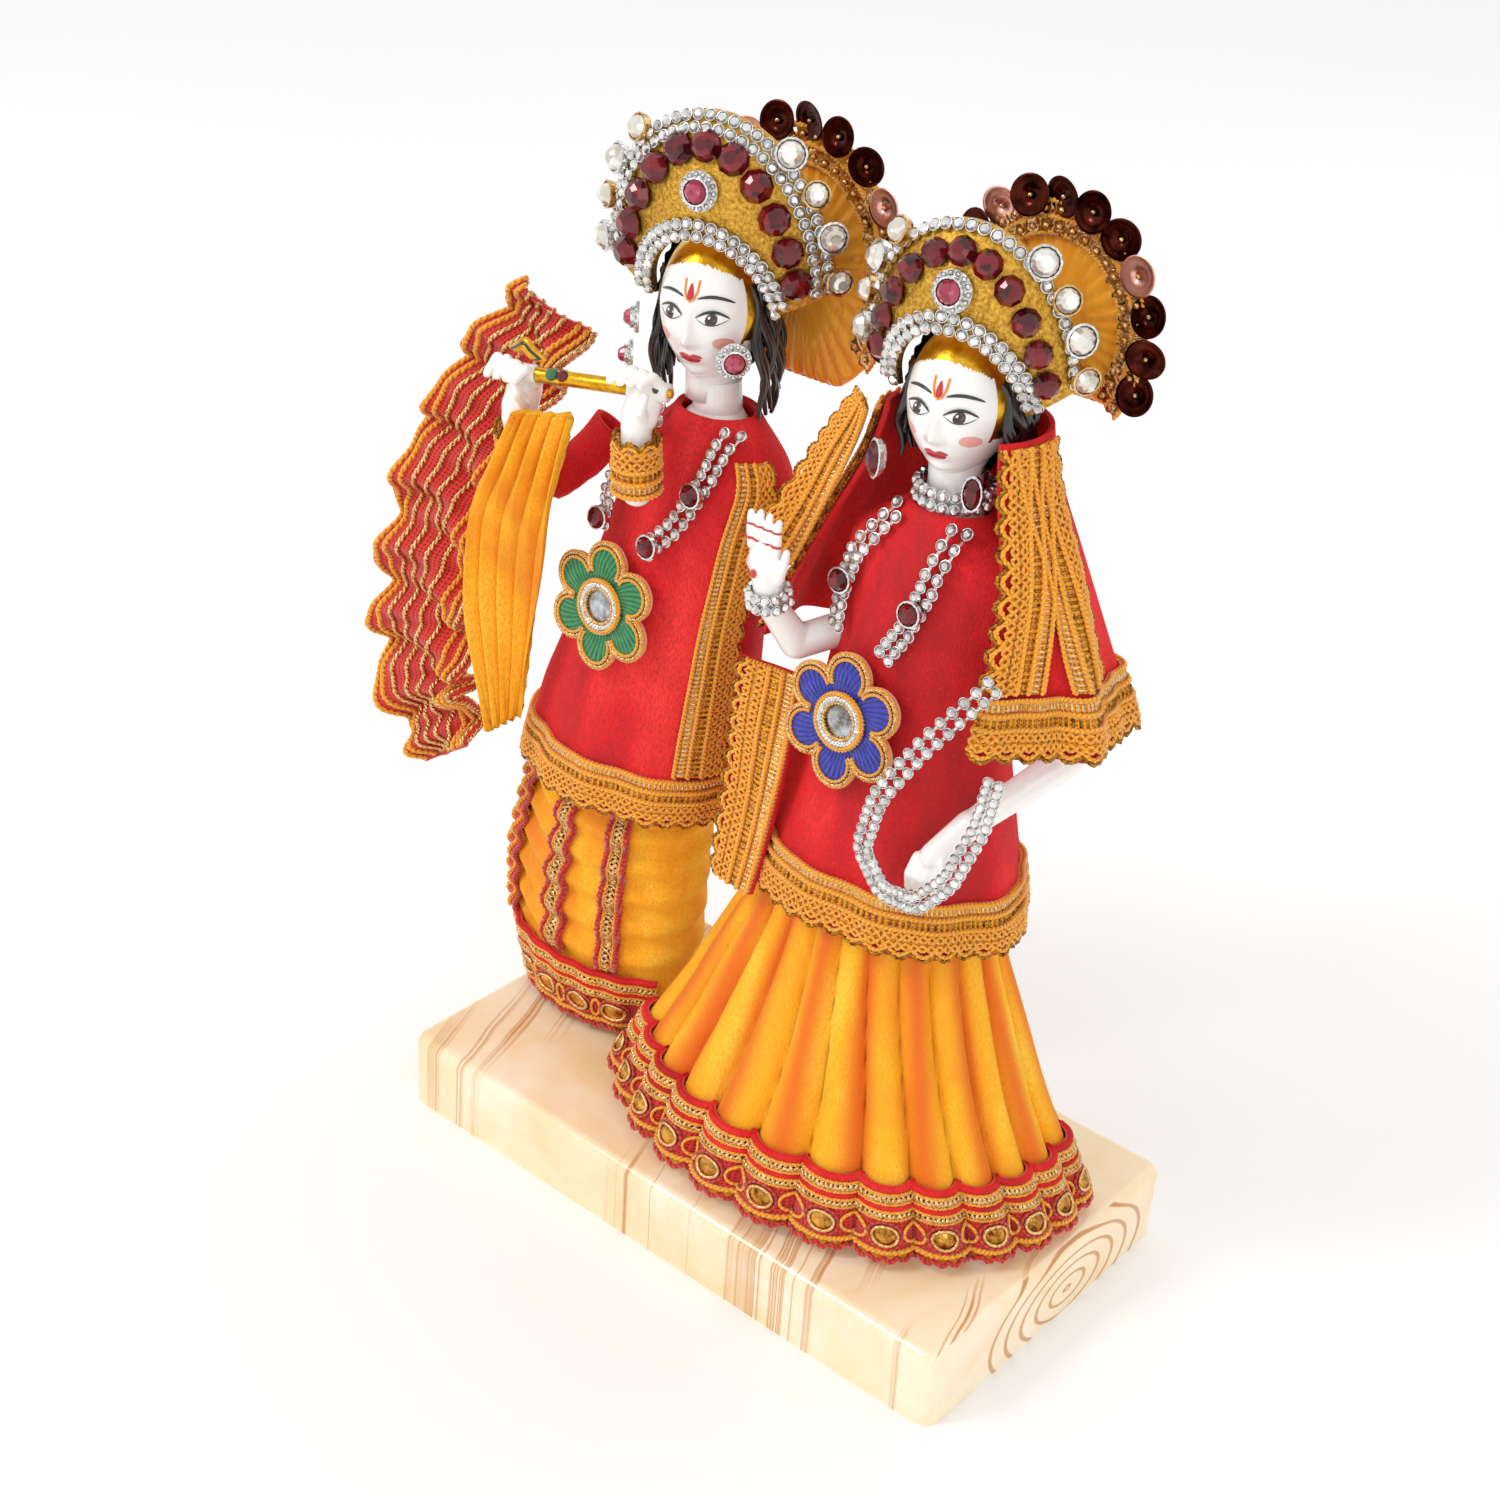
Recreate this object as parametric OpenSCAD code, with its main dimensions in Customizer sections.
// A pair of dressed and jewelled statuettes on one marble-look slab.
// Millimetres, +Z up, +X along the slab, the figures face -Y.
// The origin is the middle of the slab's underside.

/* [Slab] */
// Length of the slab along X
slab_length = 150; // [146:1:170]
// Depth of the slab along Y
slab_depth = 84; // [82:1:100]
// Thickness of the slab
slab_height = 18; // [18:0.5:18]
// Radius of the slab's upright corners
slab_corner = 4; // [3:0.5:8]
// Radius of the slab's upper edges
slab_edge = 2.5; // [1:0.5:2.5]

/* [Cloth] */
// Thickness of the lined velvet garments
cloth = 1.6; // [1:0.1:1.8]
// Width of the gold lace along the hems
lace_width = 12; // [8:1:14]
// Height of the mirrored border along the skirt and the dhoti
border_height = 16; // [10:1:18]

/* [Jewellery] */
// Diameter of one rhinestone's cup
cup_diameter = 2.2; // [1.6:0.1:2.3]
// Distance from one rhinestone to the next
cup_pitch = 2.5; // [2.4:0.1:3]
// Diameter of the dark red stones on the crowns
red_diameter = 4.6; // [3:0.2:5]
// Diameter of the clear stones on the crowns
clear_diameter = 5.4; // [3:0.2:6]
// Outer radius of one flower pendant
pendant_radius = 13.5; // [10:0.5:14]
// Diameter of the flute
flute_diameter = 3.4; // [2:0.2:3.6]

/* [Hidden] */
$fn = 32;
front = 270;
fit_gap = 0.15;
eps = 0.01;
ivory = "#f7f4ee";
hair_black = "#16120f";
yellow = "#f3a21a";
red = "#d91c2c";
lace_gold = "#dc9a22";
gold = "#d9a441";
silver = "#dcdde2";
ruby = "#7a0f22";
crystal = "#e9f1f4";
leaf_green = "#138a4a";
royal_blue = "#2431b4";
sequin_brown = "#3a1510";
marble = "#ffeed2";

// Each table row is a level: height, centre x, centre y, half width, half depth.
male_body = [
  [slab_height, -54, 2, 16, 10], [55, -54, 2, 16.5, 10.5], [84, -47, 0, 17.5, 11.5],
  [96, -45, -0.5, 17, 11.5], [110, -41.6, -1, 17, 11.5], [130, -37, -1, 17, 11.5],
  [150, -33, 0, 15.5, 10], [163, -30.5, 0, 16.5, 9], [170, -29.6, 0, 8.5, 6],
  [173, -29.6, 0, 5, 5], [179.2, -30.2, 0, 5, 5]
];
male_cloth = [
  [84, -46, -1, 28, 20], [104, -43, -1, 26, 18], [130, -37, -1, 21, 15],
  [150, -33, 0, 19, 13], [163, -30.5, 0, 20, 11.5], [170, -29.4, 0, 12, 9],
  [173.5, -29.5, 0, 7.5, 7.3]
];
male_wrap = [
  [20, -54, 2, 21, 14], [35, -55, 2, 25, 15], [53, -55, 2, 25.5, 15],
  [75, -51, 1, 23, 15], [96, -46, 0, 20.5, 14]
];
female_body = [
  [slab_height, 22, 2, 16, 12], [60, 23, 1, 16, 12], [90, 24, 0, 16.5, 12],
  [110, 24.5, -1, 16, 11.5], [130, 25.5, -1, 15.5, 11], [150, 27, -1, 15.5, 10],
  [163, 28, -1, 16.5, 8.5], [169, 28.5, -1, 8.5, 6], [172, 29, -1, 5, 5], [177.8, 29, -1, 5, 5]
];
female_cloth = [
  [86, 23, -1, 31, 22.5], [105, 24, -1, 26, 19], [130, 25.5, -1, 19.5, 14.5],
  [150, 27, -1, 18.5, 13], [163, 28, -1, 20, 11.5], [169, 28.5, -1, 12, 9],
  [172.5, 29, -1, 7.2, 7]
];
skirt_fan = [
  [20, 14, 6, 57, 42], [50, 18, 3, 41, 30], [78, 21, 0, 29, 20.5], [98, 23, -1, 22.5, 16]
];
veil_drape = [
  [134, 28, 3, 39, 25], [150, 28.5, 2, 32, 21], [165, 29, 1, 26, 17],
  [178, 29, 1, 19, 15.5], [189, 29, 1, 15.5, 14.5]
];
male_head_at = [-31.2, -0.5, 194.4];
female_head_at = [28.8, -1, 192.6];
male_head_half = [10.4, 12, 15.2];
female_head_half = [10, 11.6, 14.2];
hair_over = [1.4, 1.2, 0.6];

function column(t, k) = [for (r = t) [r[0], r[k]]];
function level(t, z) = [for (k = [1:4]) lookup(z, column(t, k))];

// The point of a table's oval at height z and angle a, moved out by off.
function oval(t, z, a, off) =
  let (l = level(t, z))
  [l[0] + (l[2] + off) * cos(a), l[1] + (l[3] + off) * sin(a), z];

// The front of a table's oval at x, moved out by off.
function front_y(t, x, z, off) =
  let (l = level(t, z), s = (x - l[0]) / (l[2] + off))
  l[1] - (l[3] + off) * sqrt(max(0, 1 - s * s));

function mix(a, b, t) = a + (b - a) * t;
function unit(v) = v / norm(v);

// A point at fraction t along a list of corner points.
function along(pts, t) =
  let (n = len(pts) - 1, s = min(n - eps, max(0, t * n)), i = floor(s))
  mix(pts[i], pts[i + 1], s - i);

// A thin solid between two surfaces, each a function of u and v from 0 to 1.
module sheet_solid(outer, inner, nu, nv, closed = false) {
  w = closed ? nu : nu + 1;
  layer = w * (nv + 1);
  function at(k, i, j) = k * layer + j * w + (closed ? i % nu : i);
  pts = concat(
    [for (j = [0:nv], i = [0:w - 1]) outer(i / nu, j / nv)],
    [for (j = [0:nv], i = [0:w - 1]) inner(i / nu, j / nv)]);
  skins = [for (j = [0:nv - 1], i = [0:nu - 1])
    let (a = [for (k = [0, 1]) at(k, i, j)], b = [for (k = [0, 1]) at(k, i + 1, j)],
      c = [for (k = [0, 1]) at(k, i + 1, j + 1)], d = [for (k = [0, 1]) at(k, i, j + 1)])
    each [[a[0], d[0], c[0]], [a[0], c[0], b[0]], [a[1], c[1], d[1]], [a[1], b[1], c[1]]]];
  rims = [for (i = [0:nu - 1])
    let (a = [for (k = [0, 1]) at(k, i, 0)], b = [for (k = [0, 1]) at(k, i + 1, 0)],
      d = [for (k = [0, 1]) at(k, i, nv)], c = [for (k = [0, 1]) at(k, i + 1, nv)])
    each [[a[0], b[0], b[1]], [a[0], b[1], a[1]], [c[0], d[0], d[1]], [c[0], d[1], c[1]]]];
  sides = closed ? [] : [for (j = [0:nv - 1])
    let (a = [for (k = [0, 1]) at(k, 0, j)], d = [for (k = [0, 1]) at(k, 0, j + 1)],
      b = [for (k = [0, 1]) at(k, nu, j)], c = [for (k = [0, 1]) at(k, nu, j + 1)])
    each [[d[0], a[0], a[1]], [d[0], a[1], d[1]], [b[0], c[0], c[1]], [b[0], c[1], b[1]]]];
  polyhedron(pts, concat(skins, rims, sides), convexity = 8);
}

// A closed solid whose levels follow a table.
module table_solid(t, nu) {
  n = len(t);
  pts = [for (r = t, i = [0:nu - 1]) oval(t, r[0], i * 360 / nu, 0)];
  walls = [for (j = [0:n - 2], i = [0:nu - 1])
    let (a = j * nu + i, b = j * nu + (i + 1) % nu)
    each [[a, a + nu, b + nu], [a, b + nu, b]]];
  polyhedron(pts, concat(walls, [[for (i = [0:nu - 1]) i]],
    [[for (i = [nu - 1:-1:0]) (n - 1) * nu + i]]), convexity = 4);
}

// A cloth shell on a table, from height z0 to z1 and offset o0 to o1.
// It runs all round unless the two angles are given.
module table_shell(t, z0, z1, o0, o1, a0 = 0, a1 = 360, nu = 28, nv = 5) {
  whole = a1 - a0 >= 360;
  sheet_solid(
    function(u, v) oval(t, mix(z0, z1, v), mix(a0, a1, u), o1),
    function(u, v) oval(t, mix(z0, z1, v), mix(a0, a1, u), o0),
    nu, nv, whole);
}

// A round limb between two points.
limb_facets = 12;
module limb(p, q, r1, r2) {
  hull() {
    translate(p) sphere(r = r1, $fn = limb_facets);
    translate(q) sphere(r = r2, $fn = limb_facets);
  }
}

// A finger bent at one knuckle.
module finger(a, b, c, r) {
  limb(a, b, r, 0.92 * r);
  limb(b, c, 0.92 * r, 0.75 * r);
}

// A hollow sleeve round a path, with its radius mixed from r0 to r1.
module sleeve(path, r0, r1, wall) {
  function ring(u, v, off) =
    let (p = along(path, v), d = unit(along(path, v + 0.02) - along(path, v - 0.02)),
      side = unit(cross(d, [0, 1, 0])), up = cross(side, d), r = mix(r0, r1, v) - off)
    p + r * (side * cos(360 * u) - up * sin(360 * u));
  sheet_solid(
    function(u, v) ring(u, v, 0),
    function(u, v) ring(u, v, wall),
    16, 8, true);
}

// A short stud standing on point p along direction n.
module stud(p, n, r, h) {
  translate(p) rotate([0, acos(n.z / norm(n)), atan2(n.y, n.x)])
    cylinder(h = h, r = r);
}

// A ring of cloth or lace around a limb, from fraction s to e of its length.
module limb_ring(p, q, s, e, r_in, r_out) {
  d = q - p;
  translate(p + s * d) rotate([0, acos(d.z / norm(d)), atan2(d.y, d.x)])
    difference() {
      cylinder(h = (e - s) * norm(d), r = r_out);
      translate([0, 0, -1]) cylinder(h = (e - s) * norm(d) + 2, r = r_in);
    }
}

// A rhinestone rosette facing direction n: a ring of small cups.
module rosette_ring(p, n, r, count) {
  translate(p) rotate([0, acos(n.z / norm(n)), atan2(n.y, n.x)]) {
    cylinder(h = 0.8, r = r);
    for (i = [0:count - 1])
      rotate(i * 360 / count) translate([r, 0, 0]) cylinder(h = 1.2, r = 0.9);
  }
}

// The faceted centre stone of a rosette.
module rosette_stone(p, n, r) {
  translate(p) rotate([0, acos(n.z / norm(n)), atan2(n.y, n.x)])
    translate([0, 0, 0.8 + fit_gap]) cylinder(h = 1.2, r1 = r, r2 = 0.6 * r);
}

// Parts that both figures share.
module head_shape(at, half) {
  difference() {
    translate(at) scale(half) sphere(r = 1, $fn = 40);
    translate([at.x, at.y, at.z - half.z - 1]) cylinder(h = 3.2, r = 6.2);
  }
}

module hair_shape(at, half) {
  translate(at) difference() {
    scale(half + hair_over) sphere(r = 1);
    scale(half + [0.2, 0.2, 0.2]) sphere(r = 1);
    translate([-20, -40.5, -20]) cube([40, 40, 40]);
    translate([0, 0, -half.z - 2]) cylinder(h = 5.2, r = 6.6);
  }
}

// One double row of cups from the shoulder to the pendant. The corner
// points give x, z and the distance in front of the garment.
function chain_point(t, pts, s, side) =
  let (p = along(pts, s), q = along(pts, s + 0.02), d = unit([q.x - p.x, q.y - p.y]),
    x = p.x - d.y * side, z = p.y + d.x * side)
  [x, front_y(t, x, z, p.z), z];

module chain(t, pts, rows) {
  steps = [for (i = [0:len(pts) - 2]) norm([pts[i + 1].x - pts[i].x, pts[i + 1].y - pts[i].y])];
  total = [for (s = steps) 1] * steps;
  count = floor(total / cup_pitch);
  for (side = rows) {
    for (i = [0:count - 1])
      translate(chain_point(t, pts, i / count, side * cup_pitch / 2)) rotate([90, 0, 0])
        cylinder(h = 1.1, d = cup_diameter, $fn = 20);
    for (i = [0:count - 2])
      chain_link(chain_point(t, pts, i / count, side * cup_pitch / 2),
        chain_point(t, pts, (i + 1) / count, side * cup_pitch / 2));
  }
}

// The thin link between two neighbouring cups.
module chain_link(p, q) {
  d = q - p;
  translate(p - [0, 0.5, 0]) rotate([0, acos(d.z / norm(d)), atan2(d.y, d.x)])
    cylinder(h = norm(d), r = 0.3, $fn = 16);
}

module necklace_stones(t, pts, stations) {
  for (s = stations)
    translate(chain_point(t, pts, s, 0) - [0, 2.3, 0]) rotate([90, 0, 0])
      cylinder(h = 2, r1 = red_diameter / 2, r2 = red_diameter / 3);
}

// A flower patch of six petals round an open middle, tilted with the chest.
module flower(at, tilt) {
  translate(at) rotate([90 - tilt, 0, 0]) difference() {
    union() {
      cylinder(h = 1.4, r = 0.42 * pendant_radius);
      for (i = [0:5])
        rotate(i * 60 + 30) translate([0.64 * pendant_radius, 0, 0])
          cylinder(h = 1.4, r = 0.36 * pendant_radius);
    }
    translate([0, 0, 0.6]) cylinder(h = 2, r = 0.3 * pendant_radius);
  }
}

module flower_mirror(at, tilt) {
  translate(at) rotate([90 - tilt, 0, 0]) translate([0, 0, 0.6 + fit_gap])
    cylinder(h = 1.2, r = 0.3 * pendant_radius - fit_gap);
}

// The crown's plate is an arch that stands round the brow and flares to the
// sides. u runs from the wearer's right to the left and v from the brow to the
// arch. size is the arch's top above the head's centre, its half width and the
// angle that the head is turned by.
crown_half_angle = 92;
function crown_inner(a) = [12.6 * sin(a), -1 - 8.5 * max(0, cos(a)), 14.4 * cos(a)];
function crown_outer(size, a) = [size.y * sin(a), 3 - 8 * cos(a), 6 + (size.x - 6) * cos(a)];
function turned(p, angle) =
  [p.x * cos(angle) - p.y * sin(angle), p.x * sin(angle) + p.y * cos(angle), p.z];
function crown_point(at, size, u, v) =
  let (a = mix(-crown_half_angle, crown_half_angle, u),
    p = mix(crown_inner(a), crown_outer(size, a), v) - [0, 2 * sin(180 * v), 0])
  at + turned(p, size.z);
function crown_normal(at, size, u, v) =
  let (p = crown_point(at, size, u, v),
    du = crown_point(at, size, u + 0.01, v) - p,
    dv = crown_point(at, size, u, v + 0.01) - p)
  unit(cross(du, dv));

module crown_plate(at, size) {
  sheet_solid(
    function(u, v) crown_point(at, size, u, v),
    function(u, v) crown_point(at, size, u, v) + [0, 1.2, 0],
    26, 5);
}

module crown_studs(at, size, v, count, r, h, first = 0.02, last = 0.98, lift = 0.25) {
  for (i = [0:count - 1]) {
    u = mix(first, last, i / (count - 1));
    n = crown_normal(at, size, u, v);
    stud(crown_point(at, size, u, v) + n * lift, n, r, h);
  }
}

// The red stones climb from the middle of the wings to a peak over the rosette.
module crown_red(at, size) {
  count = 11;
  for (i = [0:count - 1]) {
    u = mix(0.07, 0.93, i / (count - 1));
    v = 0.5 + 0.24 * pow(sin(180 * u), 3);
    n = crown_normal(at, size, u, v);
    stud(crown_point(at, size, u, v) + n * 0.25, n, red_diameter / 2, 1.8);
  }
}

module crown_rhinestones(at, size) {
  crown_studs(at, size, 0.08, 17, cup_diameter / 2, 1.1);
  crown_studs(at, size, 0.93, 26, cup_diameter / 2, 1.1);
}

module crown_clear(at, size) {
  crown_studs(at, size, 0.99, 3, clear_diameter / 2, 1.8, 0.03, 0.2, 1.9);
  crown_studs(at, size, 0.99, 3, clear_diameter / 2, 1.8, 0.8, 0.97, 1.9);
}

rosette_height = 0.4;
function rosette_at(at, size) =
  crown_point(at, size, 0.5, rosette_height) + crown_normal(at, size, 0.5, rosette_height) * 0.3;

module crown_rosette(at, size) {
  rosette_ring(rosette_at(at, size), crown_normal(at, size, 0.5, rosette_height), 3.2, 10);
  rosette_stone(rosette_at(at, size), crown_normal(at, size, 0.5, rosette_height), 2);
}

// A halo is a padded fan behind the head. half is its half width and half height.
module halo_pad(at, half, low) {
  intersection() {
    translate(at) scale([half.x, 3, half.y]) sphere(r = 1, $fn = 40);
    translate([at.x - 40, at.y - 20, low]) cube([80, 40, 80]);
  }
}

module halo_lace(at, half, low) {
  intersection() {
    translate(at - [0, 2, 0]) scale([half.x, 1, half.y]) rotate([90, 0, 0]) difference() {
      cylinder(h = 0.8, r = 1, $fn = 40);
      translate([0, 0, -1]) cylinder(h = 3, r = 0.76, $fn = 40);
    }
    translate([at.x - 40, at.y - 20, low]) cube([80, 40, 80]);
  }
}

module halo_sequins(at, half, a0, a1, count) {
  for (i = [0:count - 1]) {
    a = mix(a0, a1, i / (count - 1));
    translate([at.x + (half.x + 2.4) * cos(a), at.y - 1.1 - 0.4 * (i % 2), at.z + (half.y + 2.4) * sin(a)])
      rotate([90, 0, 0]) cylinder(h = 0.3, r = 3.8);
  }
}

module base_slab() {
  x = slab_length / 2 - slab_corner;
  y = slab_depth / 2 - slab_corner;
  top = slab_height - slab_edge;
  in = slab_corner - slab_edge;
  color(marble) {
    hull()
      for (sx = [-1, 1], sy = [-1, 1])
        translate([sx * x, sy * y, 0]) {
          cylinder(h = top, r = slab_corner);
          translate([0, 0, top]) rotate_extrude() intersection() {
            translate([in, 0]) circle(r = slab_edge);
            square(slab_corner);
          }
        }
  }
}

module male_statue() {
  color(ivory) table_solid(male_body, 32);
}

module male_head() {
  color(ivory) head_shape(male_head_at, male_head_half);
}

module male_hair() {
  color(hair_black) hair_shape(male_head_at, male_head_half);
}

flute_left = [-66, -26.5, 177];
flute_right = [-26, -17.5, 181];
function flute_at(t) = mix(flute_left, flute_right, t);

module flute_room() {
  translate(flute_at(-0.2))
    rotate([0, acos((flute_right - flute_left).z / norm(flute_right - flute_left)),
      atan2((flute_right - flute_left).y, (flute_right - flute_left).x)])
    cylinder(h = 1.4 * norm(flute_right - flute_left), r = flute_diameter / 2 + 0.35);
}

male_left_wrist = [[-32, -20, 160], [-32, -21, 174]];
male_right_wrist = [[-65, -17, 152], [-61, -24.5, 168]];

module male_left_arm() {
  color(ivory) difference() {
    union() {
      limb(male_left_wrist[0], male_left_wrist[1], 3.2, 3);
      limb([-32, -21, 175], [-32, -20.5, 180.5], 3.8, 3.8);
      for (i = [0:3])
        finger([-36 + 2.6 * i, -22.5, 180], [-36.6 + 2.6 * i, -22, 184], [-37 + 2.6 * i, -18.5, 185], 1.4);
    }
    flute_room();
  }
}

module male_right_arm() {
  color(ivory) difference() {
    union() {
      limb(mix(male_right_wrist[0], male_right_wrist[1], 0.3), male_right_wrist[1], 3, 3);
      limb([-60.5, -25, 170], [-60, -24.5, 173.5], 3.8, 3.6);
      for (i = [0:3])
        finger([-64 + 2.6 * i, -27, 173], [-64.3 + 2.6 * i, -30, 175.5], [-64.3 + 2.6 * i, -29.3, 179.5], 1.3);
    }
    flute_room();
  }
}

module male_tunic() {
  color(red) table_shell(male_cloth, 84, 173.5, -cloth, 0, nv = 10);
}

module male_sleeve() {
  color(red) sleeve([[-55.5, -2, 162], [-60, -6, 154], [-64, -11, 150], [-65.5, -15, 151],
    mix(male_right_wrist[0], male_right_wrist[1], 0.3)], 4.2, 5.2, 1.4);
}

module male_tunic_lace() {
  color(lace_gold) {
    table_shell(male_cloth, 84, 84 + lace_width, 0.2, 1.4);
    table_shell(male_cloth, 84 + lace_width + 0.3, 162, 0.8, 1.9, 318, 345, 5, 10);
  }
}

module male_cuffs() {
  color(lace_gold) {
    limb_ring(male_left_wrist[0], male_left_wrist[1], 0, 0.86, 3.4, 5.6);
    limb_ring(male_right_wrist[0], male_right_wrist[1], 0.35, 0.86, 3.4, 5.4);
  }
}

module male_dhoti() {
  color(yellow) table_shell(male_wrap, 20, 96, -cloth, 0, nv = 10);
}

module male_dhoti_braid() {
  color(red)
    for (a = [256, 292])
      table_shell(male_wrap, 20 + border_height + 0.5, 82, 0.2, 1.2, a, a + 12, 3, 8);
}

module male_dhoti_border() {
  color(red) table_shell(male_wrap, 20, 20 + border_height, 0.2, 1.8, 150, 330, 24, 3);
}

module male_dhoti_ruffle() {
  color(red) table_shell(male_wrap, 20 + border_height + 0.5, 82, 0.2, 4, 186, 222, 6, 8);
}

// The shawl falls from the wearer's right forearm. Corners run from top to bottom.
shawl_left = [[-55, -31.3, 172], [-68, -29.5, 148], [-73, -26, 122], [-69, -24, 93]];
shawl_right = [[-43, -27, 174], [-51, -24, 150], [-57, -20, 130], [-64, -19.5, 97]];

module male_shawl() {
  color(yellow) sheet_solid(
    function(u, v) mix(along(shawl_left, 1 - v), along(shawl_right, 1 - v), u) - [0, 1.8, 0],
    function(u, v) mix(along(shawl_left, 1 - v), along(shawl_right, 1 - v), u) + [0, 1.2, 0],
    6, 12);
}

ruffle_line = [[-69, -6, 184], [-80, -11, 166], [-90, -17, 142], [-94, -20, 116],
  [-94, -21, 94], [-84, -21, 80]];
ruffle_half = [9, 12, 13.5, 14, 15, 10];

module male_shawl_ruffle() {
  function half(t) = along(ruffle_half, t);
  function place(u, v, off) =
    let (p = along(ruffle_line, v), q = along(ruffle_line, v + 0.02) - along(ruffle_line, v - 0.02),
      d = unit([q.x, q.z]), s = (u - 0.5) * 2 * half(v))
    [p.x - d.y * s, p.y + off, p.z + d.x * s];
  color(red) sheet_solid(
    function(u, v) place(u, v, 2.2),
    function(u, v) place(u, v, -2.2),
    5, 14);
}

module male_earrings() {
  color(silver) {
    for (p = [[-20, -7.5, 187], [-43.6, -8.5, 189.5]])
      rosette_ring(p, [sign(p.x - male_head_at.x), -0.9, 0], 2.6, 9);
    rosette_ring([-43.2, -10.5, 182.5], [-1, -0.9, 0], 2.4, 9);
  }
}

male_chain_left = [[-36.5, 171.6, 2.6], [-43, 163, 2.4], [-47, 153, 3], [-46, 144.5, 3]];
male_chain_right = [[-19.5, 171.6, 2.6], [-21.5, 163, 1.2], [-27, 152, 1.4], [-34, 144, 2.2]];
male_pendant_at = [-41.3, -18, 131.2];
pendant_tilt = 8;

module male_necklace() {
  color(silver) {
    chain(male_cloth, male_chain_left, [-1, 1]);
    chain(male_cloth, male_chain_right, [-1, 1]);
  }
}

module male_necklace_stones() {
  color(ruby) {
    necklace_stones(male_cloth, male_chain_left, [0.3, 0.86]);
    necklace_stones(male_cloth, male_chain_right, [0.42, 0.86]);
  }
}

module male_pendant() {
  color(leaf_green) flower(male_pendant_at, pendant_tilt);
}

module male_pendant_mirror() {
  color(silver) flower_mirror(male_pendant_at, pendant_tilt);
}

module flute() {
  color(gold) translate(flute_left)
    rotate([0, acos((flute_right - flute_left).z / norm(flute_right - flute_left)),
      atan2((flute_right - flute_left).y, (flute_right - flute_left).x)])
    cylinder(h = norm(flute_right - flute_left), d = flute_diameter);
}

// A leaf-shaped ornament standing on the flute near its open end.
module flute_ornament() {
  base = flute_at(0.2) + [0, 0, flute_diameter / 2 + 1.5];
  color(gold) {
    hull() {
      translate(base + [-4.5, 0, 0.6]) sphere(r = 0.8);
      translate(base + [0, 0, 1.6]) sphere(r = 1.6);
      translate(base + [5, 1, 0.4]) sphere(r = 0.8);
    }
    hull() {
      translate(base + [0, 0, 1.6]) sphere(r = 1.3);
      translate(base + [-4, 0, 4.6]) sphere(r = 0.7);
    }
  }
}

male_crown_size = [37.6, 23, 16];
module male_crown() {
  color(gold) crown_plate(male_head_at, male_crown_size);
}

module male_crown_rhinestones() {
  color(silver) crown_rhinestones(male_head_at, male_crown_size);
}

module male_crown_red_stones() {
  color(ruby) crown_red(male_head_at, male_crown_size);
}

module male_crown_clear_stones() {
  color(crystal) crown_clear(male_head_at, male_crown_size);
}

module male_crown_rosette() {
  color(ruby) crown_rosette(male_head_at, male_crown_size);
}

male_halo_at = [-22.5, 17, 200.5];
male_halo_half = [22.5, 27];
male_halo_low = 176;

module male_halo() {
  color(yellow) halo_pad(male_halo_at, male_halo_half, male_halo_low);
}

module male_halo_lace() {
  color(lace_gold) halo_lace(male_halo_at, male_halo_half, male_halo_low);
}

module male_halo_sequins() {
  color(sequin_brown) halo_sequins(male_halo_at, male_halo_half, -20, 200, 13);
}

module female_statue() {
  color(ivory) table_solid(female_body, 32);
}

module female_head() {
  color(ivory) head_shape(female_head_at, female_head_half);
}

module female_hair() {
  color(hair_black) hair_shape(female_head_at, female_head_half);
}

module female_left_arm() {
  color(ivory) {
    limb([51.8, 0, 154], [58, 3, 128], 3.4, 3.6);
    limb([58, 3, 128], [50, -15, 118], 3.6, 2.8);
    limb([50, -15, 118], [46.5, -21, 112], 3, 2.8);
    for (i = [0:3])
      finger([43.5 + 1.9 * i, -22, 111], [42.8 + 1.9 * i, -23, 107.5], [42.5 + 1.9 * i, -22.4, 104 + 0.4 * i], 1.2);
  }
}

female_wrist = [[5.5, -14, 139], [3.6, -21, 149]];

module female_right_arm() {
  color(ivory) {
    limb(female_wrist[0], female_wrist[1], 3.4, 2.8);
    limb([3.5, -21.5, 152], [2.5, -22, 159], 3, 3.4);
    for (i = [0:3])
      finger([-0.6 + 2 * i, -22, 160], [-0.8 + 2 * i, -22.3, 164], [-0.9 + 2 * i, -22, 167 - 0.5 * abs(i - 1)], 1.2);
    limb([6.5, -22, 154], [8, -23, 161], 1.2, 1);
  }
}

module female_tunic() {
  color(red) table_shell(female_cloth, 86, 172.5, -cloth, 0, nv = 10);
}

module female_tunic_lace() {
  color(lace_gold) table_shell(female_cloth, 86, 86 + lace_width, 0.2, 1.4);
}

skirt_low = 20;
skirt_high = 98;
module skirt_sheet(z0, z1, o0, o1, nv) {
  function start(z) = mix(208, 190, (z - skirt_low) / (skirt_high - skirt_low));
  sheet_solid(
    function(u, v) let (z = mix(z0, z1, v)) oval(skirt_fan, z, mix(start(z), 382, u), o1),
    function(u, v) let (z = mix(z0, z1, v)) oval(skirt_fan, z, mix(start(z), 382, u), o0),
    28, nv);
}

module female_skirt() {
  color(yellow) skirt_sheet(skirt_low, skirt_high, -2, 0, 8);
}

module female_skirt_border() {
  color(red) skirt_sheet(skirt_low, skirt_low + border_height, 0.2, 2.2, 2);
}

// The veil hangs from the back of the head over both shoulders.
veil_low = 134;
veil_high = 189;
function veil_start(z) = mix(-57, -36, (z - veil_low) / (veil_high - veil_low));
function veil_end(z) = mix(205, 216, (z - veil_low) / (veil_high - veil_low));

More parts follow.
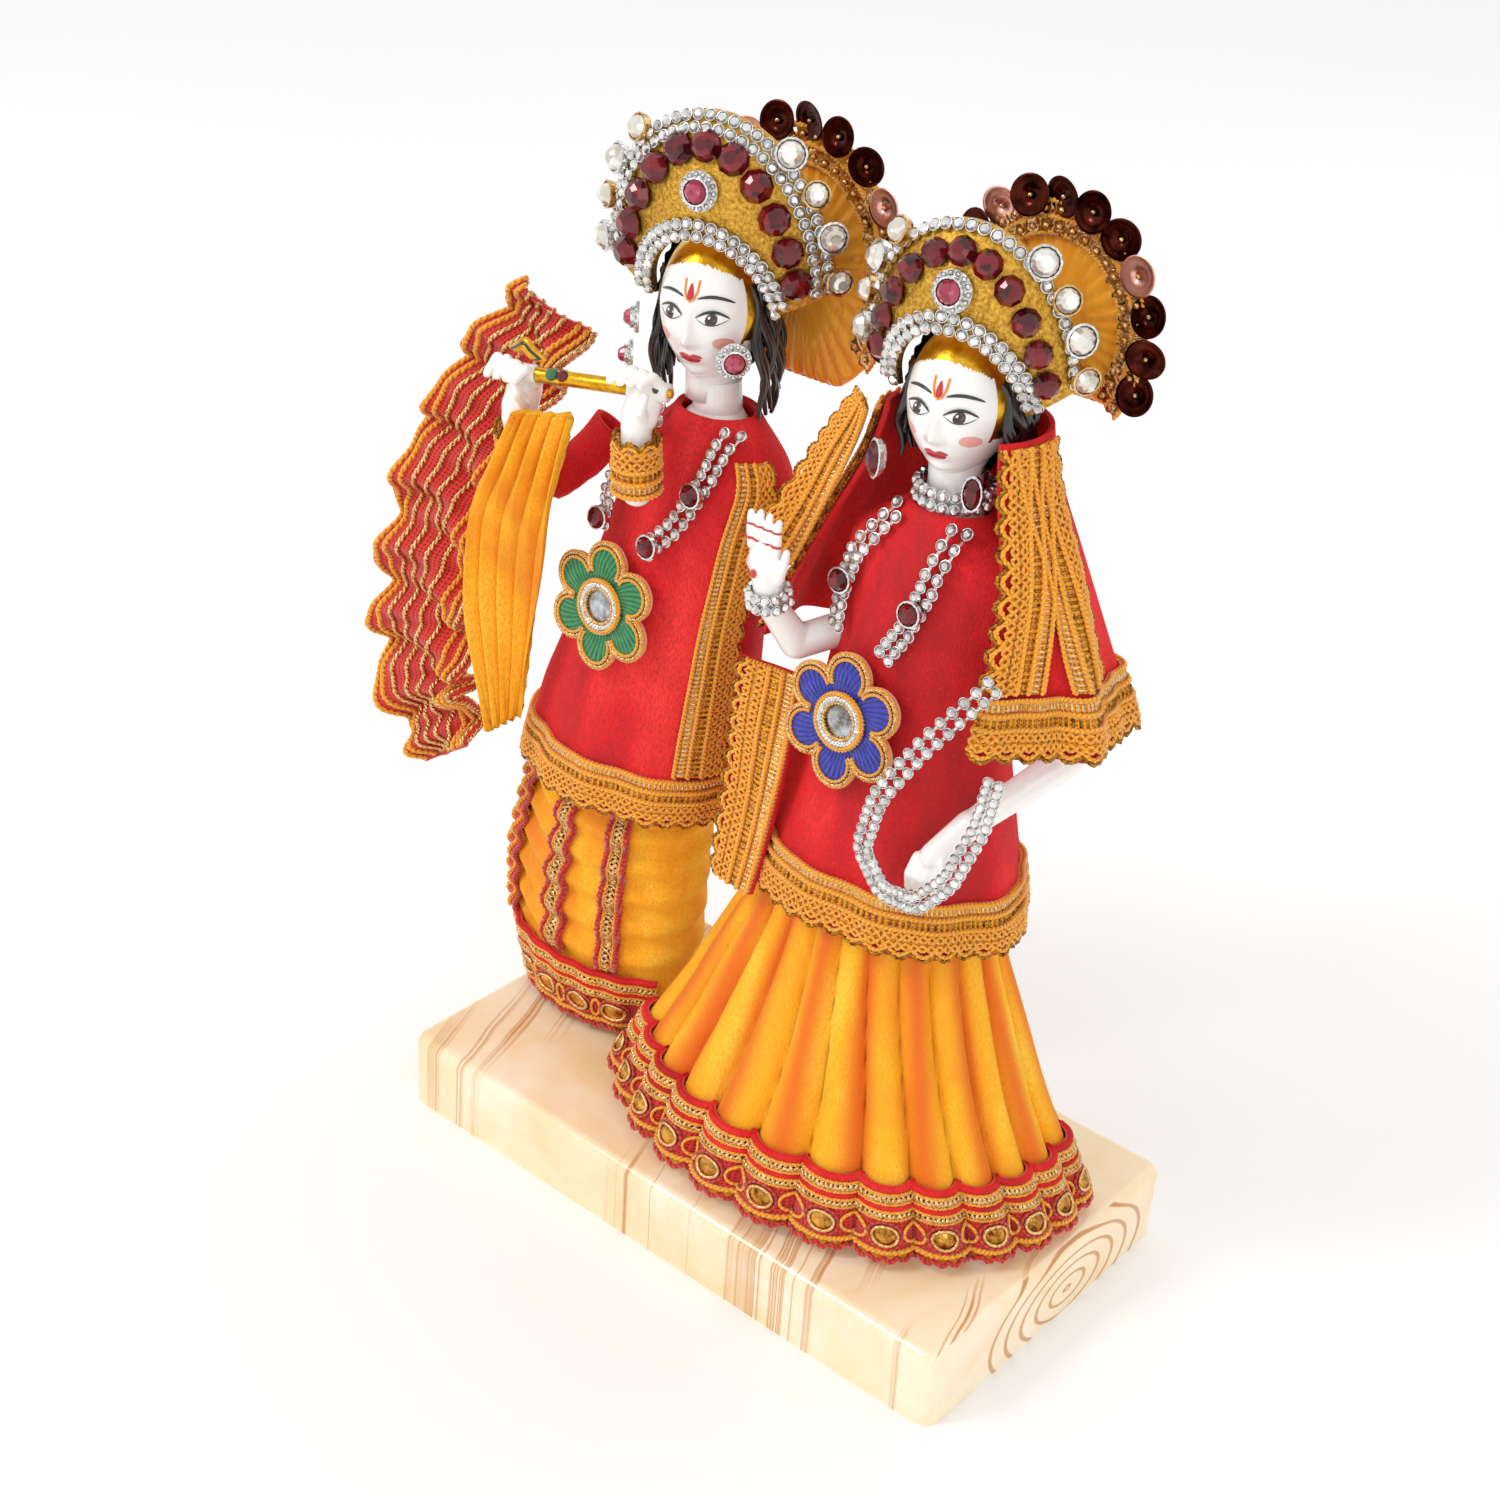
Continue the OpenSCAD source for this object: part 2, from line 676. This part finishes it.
// Two loose ends of the veil. Corners run from top to bottom: one hangs down
// the wearer's right side, and the other crosses from the head to the arm.
end_left = [[-6, -17, 133], [-6.5, -18.5, 112], [-7, -19.5, 84]];
end_right = [[8.5, -15.5, 133], [8, -18, 110], [4.5, -21.8, 84]];
band_left = [[9.5, -6.5, 190], [1.5, -10, 176], [-6.5, -15.5, 157]];
band_right = [[14.5, -9.8, 188], [11, -10.5, 175], [2.2, -13.2, 154]];

module hanging(left, right, y0, y1) {
  sheet_solid(
    function(u, v) mix(along(left, 1 - v), along(right, 1 - v), u) + [0, y0, 0],
    function(u, v) mix(along(left, 1 - v), along(right, 1 - v), u) + [0, y1, 0],
    3, 8);
}

module female_veil() {
  color(red) {
    sheet_solid(
      function(u, v) let (z = mix(veil_low, veil_high, v))
        oval(veil_drape, z, mix(veil_start(z), veil_end(z), u), 0),
      function(u, v) let (z = mix(veil_low, veil_high, v))
        oval(veil_drape, z, mix(veil_start(z), veil_end(z), u), -1.2),
      32, 6);
    hanging(end_left, end_right, 0, 1.2);
  }
}

module veil_lace_edge(u0, u1, z0, z1, nu, nv) {
  sheet_solid(
    function(u, v) let (z = mix(z0, z1, v))
      oval(veil_drape, z, mix(veil_start(z), veil_end(z), mix(u0, u1, u)), 1.2),
    function(u, v) let (z = mix(z0, z1, v))
      oval(veil_drape, z, mix(veil_start(z), veil_end(z), mix(u0, u1, u)), 0.2),
    nu, nv);
}

module female_veil_lace() {
  color(lace_gold) {
    veil_lace_edge(0, 0.1, veil_low + lace_width + 0.2, veil_high - 1, 4, 5);
    veil_lace_edge(0.9, 1, veil_low + lace_width + 0.2, veil_high - 1, 4, 5);
    veil_lace_edge(0, 1, veil_low, veil_low + lace_width, 32, 2);
    hanging(end_left, end_right, -1.3, -0.3);
    hanging(band_left, band_right, -0.6, 0.6);
  }
}

module female_collar() {
  color(silver) translate([29, -1, 173.2])
    for (k = [0, 1], i = [0:17])
      rotate(i * 20) translate([6.5, 0, 1.3 + 2.3 * k]) rotate([0, 90, 0])
        cylinder(h = 1.1, d = 2.1, $fn = 20);
}

module female_bracelet() {
  color(silver) for (k = [0, 1])
    limb_ring(female_wrist[1], [3.5, -21.5, 152], 0.05 + 0.5 * k, 0.45 + 0.5 * k, 3.6, 4.8);
}

module female_earrings() {
  color(ruby) for (side = [-1, 1])
    translate([female_head_at.x + side * 10.6, -10, 180]) rotate([90, 0, 20 * side])
      cylinder(h = 2, r1 = 2.6, r2 = 1.6);
}

female_chain_left = [[22, 170.4, 1.2], [16, 161, 1.2], [13.4, 152, 1.4], [14, 143.5, 2]];
female_chain_right = [[36, 170.4, 1.2], [34, 160, 1.2], [31, 151, 1.2], [27, 143.5, 2]];
female_pendant_at = [21.5, -18.2, 130];

module female_necklace() {
  color(silver) {
    chain(female_cloth, female_chain_left, [-1, 1]);
    chain(female_cloth, female_chain_right, [-1, 1]);
  }
}

module female_necklace_stones() {
  color(ruby) {
    necklace_stones(female_cloth, female_chain_left, [0.55]);
    necklace_stones(female_cloth, female_chain_right, [0.5]);
  }
}

module female_pendant() {
  color(royal_blue) flower(female_pendant_at, pendant_tilt);
}

module female_pendant_mirror() {
  color(silver) flower_mirror(female_pendant_at, pendant_tilt);
}

// The loop of rhinestones that hangs over the left hand. Corners give x and z.
garland_line = [[54, 150], [44, 136], [36, 122], [33.5, 110], [39, 103], [47, 103.5],
  [54, 112], [58, 124], [57.5, 132]];
garland_y = -27;

module female_garland() {
  count = 44;
  pts = [for (i = [0:count]) along(garland_line, i / count)];
  color(silver) {
    for (p = pts)
      translate([p.x, garland_y, p.y]) rotate([90, 0, 0]) cylinder(h = 1.1, d = 2, $fn = 20);
    for (i = [0:count - 1])
      chain_link([pts[i].x, garland_y, pts[i].y], [pts[i + 1].x, garland_y, pts[i + 1].y]);
  }
}

female_crown_size = [33.4, 20, 10];
module female_crown() {
  color(gold) crown_plate(female_head_at, female_crown_size);
}

module female_crown_rhinestones() {
  color(silver) crown_rhinestones(female_head_at, female_crown_size);
}

module female_crown_red_stones() {
  color(ruby) crown_red(female_head_at, female_crown_size);
}

module female_crown_clear_stones() {
  color(crystal) crown_clear(female_head_at, female_crown_size);
}

module female_crown_rosette() {
  color(ruby) crown_rosette(female_head_at, female_crown_size);
}

female_halo_at = [34, 18.5, 204];
female_halo_half = [20, 22];
female_halo_low = 190.4;

module female_halo() {
  color(yellow) halo_pad(female_halo_at, female_halo_half, female_halo_low);
}

module female_halo_lace() {
  color(lace_gold) halo_lace(female_halo_at, female_halo_half, female_halo_low);
}

module female_halo_sequins() {
  color(sequin_brown) halo_sequins(female_halo_at, female_halo_half, -20, 200, 13);
}

base_slab();
male_statue();
male_head();
male_hair();
male_left_arm();
male_right_arm();
male_tunic();
male_sleeve();
male_tunic_lace();
male_cuffs();
male_dhoti();
male_dhoti_braid();
male_dhoti_border();
male_dhoti_ruffle();
male_shawl();
male_shawl_ruffle();
male_earrings();
male_necklace();
male_necklace_stones();
male_pendant();
male_pendant_mirror();
flute();
flute_ornament();
male_crown();
male_crown_rhinestones();
male_crown_red_stones();
male_crown_clear_stones();
male_crown_rosette();
male_halo();
male_halo_lace();
male_halo_sequins();
female_statue();
female_head();
female_hair();
female_left_arm();
female_right_arm();
female_tunic();
female_tunic_lace();
female_skirt();
female_skirt_border();
female_veil();
female_veil_lace();
female_collar();
female_bracelet();
female_earrings();
female_necklace();
female_necklace_stones();
female_pendant();
female_pendant_mirror();
female_garland();
female_crown();
female_crown_rhinestones();
female_crown_red_stones();
female_crown_clear_stones();
female_crown_rosette();
female_halo();
female_halo_lace();
female_halo_sequins();
